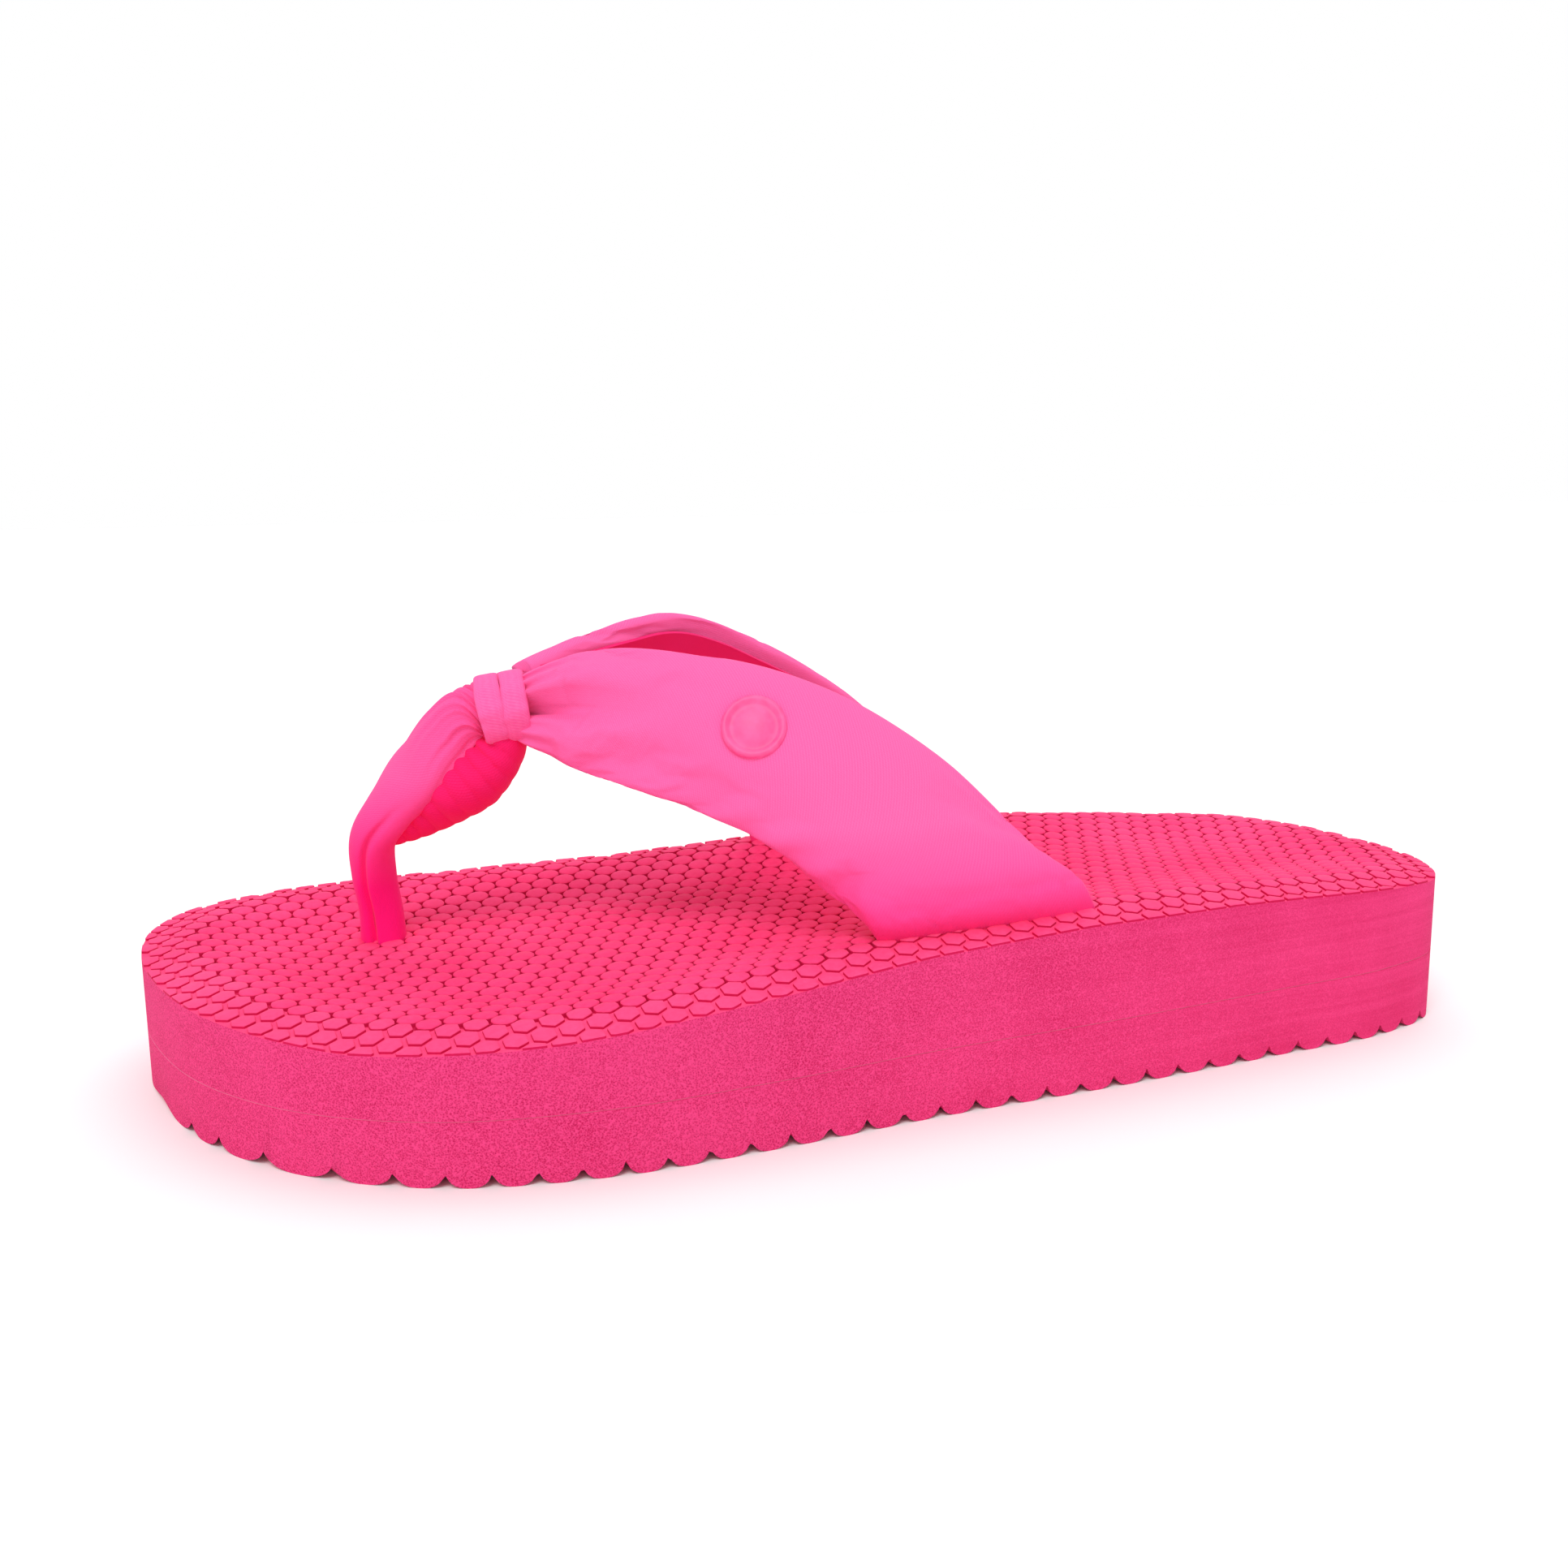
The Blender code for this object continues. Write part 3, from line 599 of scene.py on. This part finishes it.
class Nodes:
    """Short calls for building a material's nodes."""

    def __init__(self, name, color, roughness):
        self.material = bpy.data.materials.new(name)
        self.material.use_nodes = True
        self.tree = self.material.node_tree
        self.shader = self.tree.nodes["Principled BSDF"]
        self.shader.inputs["Base Color"].default_value = (*color, 1)
        self.shader.inputs["Roughness"].default_value = roughness
        self.material.diffuse_color = (*color, 1)

    def node(self, kind, **inputs):
        made = self.tree.nodes.new(kind)
        for key, value in inputs.items():
            target = made.inputs[key.replace("_", " ")]
            if isinstance(value, bpy.types.NodeSocket):
                self.tree.links.new(value, target)
            else:
                target.default_value = value
        return made

    def link(self, source, target):
        self.tree.links.new(source, target)

    def place(self, uv=False):
        return self.tree.nodes.new("ShaderNodeTexCoord").outputs["UV" if uv else "Object"]

    def stretched(self, source, scale):
        made = self.node("ShaderNodeMapping", Vector=source)
        made.inputs["Scale"].default_value = scale
        return made.outputs["Vector"]

    def noise(self, source, scale, detail=2.0, roughness=0.5):
        made = self.node("ShaderNodeTexNoise", Vector=source, Scale=scale, Detail=detail, Roughness=roughness)
        return made.outputs["Fac"]

    def math(self, operation, a, b=0.0):
        made = self.tree.nodes.new("ShaderNodeMath")
        made.operation = operation
        for socket, value in zip(made.inputs, (a, b)):
            if isinstance(value, bpy.types.NodeSocket):
                self.tree.links.new(value, socket)
            else:
                socket.default_value = value
        return made.outputs[0]

    def ranged(self, value, low, high, to_low=0.0, to_high=1.0):
        made = self.node("ShaderNodeMapRange", Value=value)
        for key, number in (("From Min", low), ("From Max", high), ("To Min", to_low), ("To Max", to_high)):
            made.inputs[key].default_value = number
        return made.outputs["Result"]

    def color_between(self, factor, a, b):
        made = self.tree.nodes.new("ShaderNodeMix")
        made.data_type = "RGBA"
        self.link(factor, made.inputs[0])
        for socket, color in ((made.inputs[6], a), (made.inputs[7], b)):
            if isinstance(color, bpy.types.NodeSocket):
                self.link(color, socket)
            else:
                socket.default_value = (*color, 1)
        return made.outputs[2]

    def bump(self, height, distance, strength=1.0, under=None):
        made = self.node("ShaderNodeBump", Height=height, Strength=strength, Distance=distance)
        if under is not None:
            self.link(under, made.inputs["Normal"])
        return made.outputs["Normal"]

    def finish(self, color=None, normal=None, roughness=None):
        for value, name in ((color, "Base Color"), (normal, "Normal"), (roughness, "Roughness")):
            if value is not None:
                self.link(value, self.shader.inputs[name])
        return self.material


def axis_of(build, source, axis):
    """One coordinate of a vector socket."""
    return build.node("ShaderNodeSeparateXYZ", Vector=source).outputs[axis]


def foam_side(name, dark, light):
    """Cut foam: open pores towards the toe, and smooth with fine saw lines towards the heel."""
    build = Nodes(name, light, 0.86)
    build.shader.inputs["Specular IOR Level"].default_value = 0.15
    place = build.place()
    toe = build.ranged(axis_of(build, place, 0), -0.03, 0.10, 1.0, 0.28)
    pores = build.node("ShaderNodeTexVoronoi", Vector=place, Scale=3300.0).outputs["Distance"]
    grain = build.noise(place, 3600.0, 3.0, 0.7)
    mottle = build.noise(place, 60.0, 3.0)
    lines = build.noise(build.stretched(place, (14.0, 14.0, 900.0)), 1.0, 2.0, 0.6)
    speck = build.math("ADD", build.math("MULTIPLY", pores, 0.6), build.math("MULTIPLY", grain, 0.7))
    strength = build.math("MULTIPLY", build.math("SUBTRACT", speck, 0.55), toe)
    streak = build.math("MULTIPLY", build.math("SUBTRACT", lines, 0.5), build.ranged(toe, 0.28, 1.0, 0.55, 0.2))
    cloud = build.math("MULTIPLY", build.math("SUBTRACT", mottle, 0.5), 0.5)
    tone = build.math("ADD", build.math("ADD", build.math("MULTIPLY", strength, 2.3), streak), cloud)
    factor = build.ranged(build.math("ADD", tone, 0.5), 0.0, 1.0)
    normal = build.bump(build.math("MULTIPLY", speck, toe), 0.00035, 0.8)
    normal = build.bump(lines, 0.00012, 0.5, normal)
    return build.finish(build.color_between(factor, dark, light), normal)


def foam_top(name, dark, light):
    """Pressed foam: a fine skin with faint pores."""
    build = Nodes(name, light, 0.7)
    build.shader.inputs["Specular IOR Level"].default_value = 0.15
    place = build.place()
    grain = build.noise(place, 900.0, 3.0, 0.6)
    mottle = build.noise(place, 45.0, 2.0)
    tone = build.math("ADD", build.math("MULTIPLY", grain, 0.5), build.math("MULTIPLY", mottle, 0.5))
    color = build.color_between(build.ranged(tone, 0.3, 0.7), dark, light)
    rough = build.ranged(grain, 0.3, 0.7, 0.6, 0.8)
    return build.finish(color, build.bump(grain, 0.00012, 0.6), rough)


def knit(name, dark, light, sheen=0.12, pitch=0.55, strength=0.35, low=None, fade=(0.0, 0.0)):
    """Fine stretch fabric: a diagonal twill rib crossed by single stitches.

    pitch is in millimetres. low is a deeper colour painted on as shade for the fabric under the fade heights,
    in metres.
    """
    build = Nodes(name, light, 0.82)
    build.shader.inputs["Sheen Weight"].default_value = sheen
    build.shader.inputs["Sheen Roughness"].default_value = 0.45
    build.shader.inputs["Sheen Tint"].default_value = (1.0, 0.55, 0.8, 1)
    build.shader.inputs["Specular IOR Level"].default_value = 0.1
    cloth = build.place(uv=True)
    ribs = build.tree.nodes.new("ShaderNodeTexWave")
    ribs.wave_type, ribs.bands_direction = "BANDS", "DIAGONAL"
    ribs.inputs["Scale"].default_value = 0.6283 / pitch
    ribs.inputs["Distortion"].default_value = 0.6
    ribs.inputs["Detail Scale"].default_value = 3.0
    build.link(cloth, ribs.inputs["Vector"])
    stitches = build.tree.nodes.new("ShaderNodeTexWave")
    stitches.wave_type, stitches.bands_direction = "BANDS", "Y"
    stitches.inputs["Scale"].default_value = 0.3142 / (pitch * 0.8)
    build.link(cloth, stitches.inputs["Vector"])
    fuzz = build.noise(cloth, 5.0, 2.0)
    weave = build.math("ADD", build.math("MULTIPLY", ribs.outputs["Fac"], 0.7),
                       build.math("MULTIPLY", stitches.outputs["Fac"], 0.3))
    tone = build.math("ADD", build.math("MULTIPLY", weave, 0.35), build.math("MULTIPLY", fuzz, 0.6))
    color = build.color_between(build.ranged(tone, 0.15, 0.85), dark, light)
    # Painted shade: the fabric turns to the deeper low colour towards its lower end, by height.
    if low is not None:
        height = axis_of(build, build.place(), 2)
        color = build.color_between(build.ranged(height, *fade), low, color)
    return build.finish(color, build.bump(weave, 0.00012, strength))


def moulded(name, dark, light, roughness):
    """Smooth moulded rubber or plastic with a faint grain."""
    build = Nodes(name, light, roughness)
    place = build.place()
    grain = build.noise(place, 500.0, 2.0)
    color = build.color_between(build.ranged(grain, 0.3, 0.7), dark, light)
    return build.finish(color, build.bump(grain, 0.00008, 0.4),
                        build.ranged(grain, 0.3, 0.7, roughness - 0.06, roughness + 0.06))


def dress(piece, *materials):
    """Gives a piece these materials and no others."""
    piece.data.materials.clear()
    for made in materials:
        piece.data.materials.append(made)


def place_piece(piece, replaced=(), materials=()):
    """Puts a piece on the body with its materials, and hides the CAD nodes it replaces."""
    if materials:
        dress(piece, *materials)
    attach(piece, BODY)
    if replaced:
        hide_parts(*replaced)


# ---------------------------------------------------------------- the object


SIDE = foam_side("foam_side", (0.58, 0.003, 0.078), (0.94, 0.060, 0.245))
TREAD = foam_top("foam_tread", (0.70, 0.018, 0.125), (0.84, 0.045, 0.185))
RIM_CELLS = foam_top("foam_rim_cells", (0.89, 0.042, 0.175), (0.96, 0.082, 0.25))
# The cells further in are a darker copy of the rim cells' colour: painted shade.
BED_CELLS_SHADED = foam_top("foam_bed_cells_painted_shade", (0.89, 0.030, 0.155), (0.96, 0.068, 0.235))
# A dark copy of the foam's colour for the groove floors and cell walls: painted shade in the recesses.
GROOVE_SHADE = foam_top("foam_grooves_painted_shade", (0.55, 0.002, 0.06), (0.68, 0.006, 0.09))
BOND = moulded("bond_film", (0.74, 0.06, 0.21), (0.84, 0.11, 0.28), 0.6)
# The strap knit has painted shade: a deeper pink towards its lower end, by height.
FABRIC = knit("strap_knit", (0.93, 0.095, 0.335), (1.0, 0.175, 0.465),
              low=(0.97, 0.03, 0.24), fade=(0.030, 0.050))
# The thong knit has painted shade: a deeper pink down its post, by height.
THONG = knit("thong_knit", (0.93, 0.065, 0.28), (1.0, 0.13, 0.40),
             low=(0.98, 0.008, 0.22), fade=(0.034, 0.056))
# The gathered fold and the knot's bundle take a darker copy of the knit: painted shade.
PLEATED_SHADED = knit("pleated_knit_painted_shade", (0.88, 0.004, 0.115), (0.97, 0.022, 0.19))
LINING = knit("lining_knit", (0.80, 0.012, 0.14), (0.93, 0.04, 0.23), 0.1)
WEBBING = knit("webbing", (0.70, 0.02, 0.12), (0.85, 0.05, 0.2), 0.05, 1.2, 0.8)
RUBBER = moulded("badge_rubber", (0.92, 0.065, 0.27), (0.97, 0.11, 0.35), 0.5)
PLASTIC = moulded("anchor_plastic", (0.75, 0.03, 0.16), (0.85, 0.05, 0.22), 0.5)


def make_sole():
    base = grid_solid("footbed_foam", sole_grid(bed_floor, *BED_GRID),
                      sole_grid(lambda x, y: bond_height(x) + BOND_HALF, *BED_GRID))
    dress(base, SIDE, GROOVE_SHADE, RIM_CELLS)
    # Groove floors further in than RIM_BAND take the dark groove colour as painted shade; those nearer the rim
    # take the rim cells' colour.
    for face in base.data.polygons:
        if face.normal.z > 0.75:
            inset = distance_to_edge(*(np.array(face.center[:2]) / MM))
            face.material_index = 1 if inset > RIM_BAND else 2
    place_piece(base, ["footbed"])
    cells = honeycomb()
    place_piece(cells)
    tread = grid_solid("outsole_foam", sole_grid(lambda x, y: bond_height(x) - BOND_HALF, *TREAD_GRID),
                       sole_grid(tread_height, *TREAD_GRID), angle=50)
    dress(tread, SIDE, TREAD)
    for face in tread.data.polygons:
        face.material_index = 1 if face.normal.z < -0.3 else 0
    place_piece(tread, ["outsole"])
    film = grid_solid("bond_film", sole_grid(lambda x, y: bond_height(x) + BOND_HALF, *FILM_GRID),
                      sole_grid(lambda x, y: bond_height(x) - BOND_HALF, *FILM_GRID))
    place_piece(film, materials=[BOND])


def make_strap():
    legs = (("outer", OUTER_REAR, OUTER_FRONT, -1, 0.4), ("inner", INNER_REAR, INNER_FRONT, 1, 2.3))
    for side, rear, front, outwards, seed in legs:
        cover, lining = strap_leg(side, rear, front, outwards, seed)
        place_piece(cover, [f"strap_cover_{side}", f"strap_pad_{side}"], [FABRIC])
        place_piece(lining, [f"strap_lining_{side}"], [LINING])


def make_thong():
    cover = tube("thong_sleeve", THONG_PATH, THONG_HALF_WIDTH, THONG_HALF_DEPTH, thong_shape)
    place_piece(cover, ["thong_cover"], [THONG])
    fold = tube("thong_gathered_fold", FOLD_PATH, FOLD_HALF_WIDTH, FOLD_HALF_DEPTH, fold_shape)
    place_piece(fold, ["thong_fold"], [PLEATED_SHADED])
    front = knot_ring("knot_turn_front", 0.1, 4.3, 0.6)
    place_piece(front, ["knot_band_front"], [FABRIC])
    rear = knot_ring("knot_turn_rear", -4.3, -0.1, 2.0)
    place_piece(rear, ["knot_band_rear"], [FABRIC])


def make_hidden_parts():
    """The CAD pieces that stay: they lie inside the sole, the sleeve and the knot."""
    for name, made in (("strap_tail_outer", WEBBING), ("strap_tail_inner", WEBBING),
                       ("toe_post_core", WEBBING), ("knot_bundle", PLEATED_SHADED),
                       ("strap_anchor_outer", PLASTIC), ("strap_anchor_inner", PLASTIC),
                       ("toe_post_anchor", PLASTIC)):
        dress(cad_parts[name], made)


# ---------------------------------------------------------------- studio


def make_camera():
    """The camera at the real view's place, in metres."""
    data = bpy.data.cameras.new("camera")
    data.sensor_width = 36.0
    data.lens = data.sensor_width / 2 / math.tan(math.radians(VIEW_WIDTH_DEGREES) / 2)
    data.clip_start, data.clip_end = 0.01, 20
    camera = bpy.data.objects.new("camera", data)
    bpy.context.scene.collection.objects.link(camera)
    camera.location = Vector(CAMERA_AT) * MM
    back = -Vector(CAMERA_FORWARD).normalized()
    right = Vector(CAMERA_RIGHT).normalized()
    up = back.cross(right)
    turn = np.array([right, up, back]).T
    camera.rotation_mode = "QUATERNION"
    camera.rotation_quaternion = Matrix(turn.tolist()).to_quaternion()
    bpy.context.scene.camera = camera


def soft_light(name, at, spread_degrees, strength):
    """A wide softbox, far enough away to light the whole floor evenly."""
    data = bpy.data.lights.new(name, "SUN")
    data.angle = math.radians(spread_degrees)
    data.energy = strength
    light = bpy.data.objects.new(name, data)
    light.location = at
    light.rotation_mode = "QUATERNION"
    light.rotation_quaternion = Vector(at).to_track_quat("Z", "Y")
    bpy.context.scene.collection.objects.link(light)


def make_studio():
    """A white paper floor, a white surround and two soft lights."""
    bpy.ops.mesh.primitive_plane_add(size=8)
    floor = bpy.context.active_object
    floor.name = "floor"
    build = Nodes("floor_paper", (0.94, 0.94, 0.94), 0.9)
    grain = build.noise(build.place(), 30.0, 2.0)
    build.finish(build.color_between(grain, (0.93, 0.93, 0.935), (0.95, 0.95, 0.95)))
    floor.data.materials.append(build.material)
    world = bpy.data.worlds.new("studio")
    world.use_nodes = True
    tree = world.node_tree
    place = tree.nodes.new("ShaderNodeTexCoord")
    parts = tree.nodes.new("ShaderNodeSeparateXYZ")
    tree.links.new(place.outputs["Generated"], parts.inputs[0])
    fade = tree.nodes.new("ShaderNodeMapRange")
    low, high = SKY_FADE
    for key, number in (("From Min", low), ("From Max", high), ("To Min", 1.0), ("To Max", SKY_ABOVE)):
        fade.inputs[key].default_value = number
    tree.links.new(parts.outputs["Z"], fade.inputs["Value"])
    tree.links.new(fade.outputs["Result"], tree.nodes["Background"].inputs["Strength"])
    tree.nodes["Background"].inputs["Color"].default_value = (1, 1, 1, 1)
    bpy.context.scene.world = world
    soft_light("key", (-0.35, -0.5, 0.95), 32, KEY_LIGHT)
    soft_light("top", (0.25, 0.35, 1.0), 50, TOP_LIGHT)
    bpy.context.scene.view_settings.view_transform = "Standard"


make_camera()
make_studio()
make_sole()
make_strap()
make_thong()
button = badge()
place_piece(button, ["badge"], materials=[RUBBER])
make_hidden_parts()
